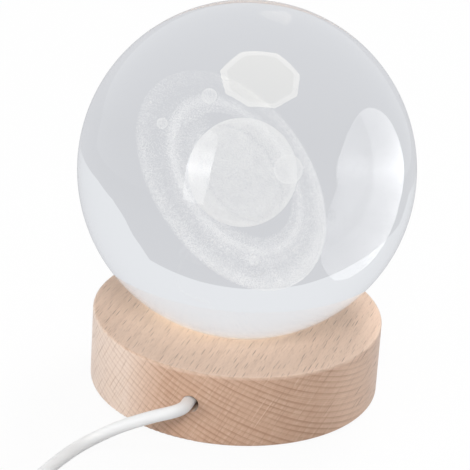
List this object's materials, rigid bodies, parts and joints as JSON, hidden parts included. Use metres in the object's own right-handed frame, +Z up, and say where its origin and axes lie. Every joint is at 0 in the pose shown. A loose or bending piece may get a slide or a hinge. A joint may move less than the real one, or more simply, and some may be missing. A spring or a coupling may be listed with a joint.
{
  "type": "crystal ball lamp",
  "caption": "Clear glass ball with a ringed planet marked inside, resting on a round beech light base with a thin white USB cord and press switch.",
  "frame": {"origin": "on the floor at the middle of the round base", "axes": "+Z up through the ball's centre; -Y is the front; the cord leaves the base at +Y"},
  "size_m": [0.0813, 0.1825, 0.0955],
  "materials": {
    "crystal": "polished clear optical glass",
    "laser_marks": "milky laser dots inside the glass",
    "beech": "sanded steamed beech, clear matt finish",
    "foam_pad": "closed-cell foam",
    "white_board": "moulded, fine matt",
    "steel_screws": "zinc plated",
    "board_white": "white solder mask",
    "led_phosphor": "yellow phosphor in a white case",
    "black_ceramic": "matt chip body",
    "frosted_window": "frosted acrylic",
    "solder": "bright solder",
    "cord_jacket": "soft white vinyl, satin",
    "red_insulation": "vinyl",
    "black_insulation": "vinyl",
    "nylon": "natural nylon",
    "tie_strap": "white vinyl-covered wire tie",
    "white_plastic": "satin white moulding",
    "black_plastic": "matt moulding",
    "plug_steel": "nickel plate, drawn",
    "gilt_contacts": "gold flash"
  },
  "bodies": {
    "base": {"wood_base": "beech", "foot_pad": "foam_pad", "bottom_cover": "white_board", "cover_screws": "steel_screws", "led_board": "board_white", "leds": "led_phosphor", "resistors": "black_ceramic", "lens_cover": "frosted_window", "board_screws": "steel_screws", "solder_joints": "solder", "cord_inner": "cord_jacket", "red_wire": "red_insulation", "black_wire": "black_insulation", "cable_tie": "nylon", "cord_lead": "cord_jacket", "cord_coil": "cord_jacket", "cord_tail": "cord_jacket", "cord_end": "cord_jacket", "coil_tie": "tie_strap", "switch_lower_shell": "white_plastic", "switch_upper_shell": "white_plastic", "switch_block": "black_plastic", "switch_screws": "steel_screws", "switch_red_wires": "red_insulation", "switch_black_wire": "black_insulation", "plug_moulding": "white_plastic", "plug_shell": "plug_steel", "plug_tongue": "white_plastic", "plug_contacts": "gilt_contacts"},
    "ball": {"crystal_ball": "crystal", "engraved_planet": "laser_marks", "engraved_inner_ring": "laser_marks", "engraved_outer_ring": "laser_marks", "engraved_moons": "laser_marks"},
    "button": {"switch_button": "white_plastic"}
  },
  "joints": [
    {"name": "ball_lift", "type": "slide", "parent": "base", "child": "ball", "axis": [0, 0, 1], "range_m": [0, 0.06]},
    {"name": "button_press", "type": "slide", "parent": "base", "child": "button", "axis": [0, 0, -1], "range_m": [0, 0.001], "stiffness_N_per_m": 500, "springref_m": -0.001}
  ]
}
